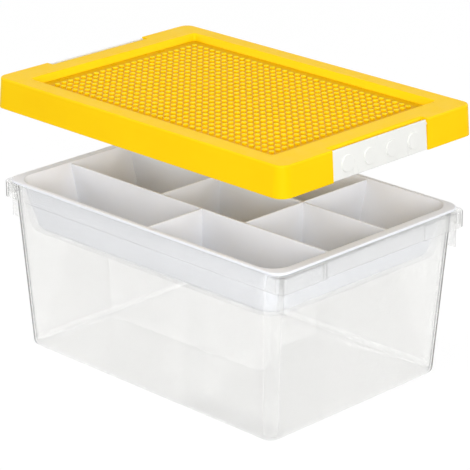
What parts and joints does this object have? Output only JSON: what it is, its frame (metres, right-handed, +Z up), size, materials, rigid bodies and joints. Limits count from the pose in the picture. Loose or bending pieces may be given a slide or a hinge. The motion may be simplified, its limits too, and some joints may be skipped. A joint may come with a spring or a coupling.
{
  "type": "building block storage box",
  "caption": "Clear storage box with a lift-out divided tray, a lid with a studded building surface, and a snap latch at each end.",
  "frame": {"origin": "middle of the tub's underside, on the surface that the box stands on", "axes": "+X along the box, from the left latch to the right latch; +Y across the box, away from the viewer; +Z up. The lid is drawn lifted off, straight above the tub."},
  "size_m": [0.3668, 0.249, 0.264],
  "materials": {
    "clear_plastic": "clear polished plastic",
    "white_tray": "satin white plastic",
    "yellow_lid": "satin yellow plastic",
    "yellow_studs": "glossy yellow plastic",
    "white_latch": "satin white plastic"
  },
  "bodies": {
    "tub": {"tub": "clear_plastic"},
    "tray": {"tray": "white_tray"},
    "lid": {"lid": "yellow_lid", "stud_plate": "yellow_studs"},
    "latch_left": {"latch_left": "white_latch"},
    "latch_right": {"latch_right": "white_latch"}
  },
  "joints": [
    {"name": "tray_lift", "type": "slide", "parent": "tub", "child": "tray", "axis": [0, 0, 1], "range_m": [0, 0.06]},
    {"name": "lid_lift", "type": "slide", "parent": "tray", "child": "lid", "axis": [0, 0, 1], "range_m": [-0.09, 0]},
    {"name": "latch_left_hinge", "type": "hinge", "parent": "lid", "child": "latch_left", "pos_m": [-0.1797, 0, 0.259], "axis": [0, 1, 0], "range_deg": [-5, 85]},
    {"name": "latch_right_hinge", "type": "hinge", "parent": "lid", "child": "latch_right", "pos_m": [0.1797, 0, 0.259], "axis": [0, -1, 0], "range_deg": [-5, 85]}
  ]
}
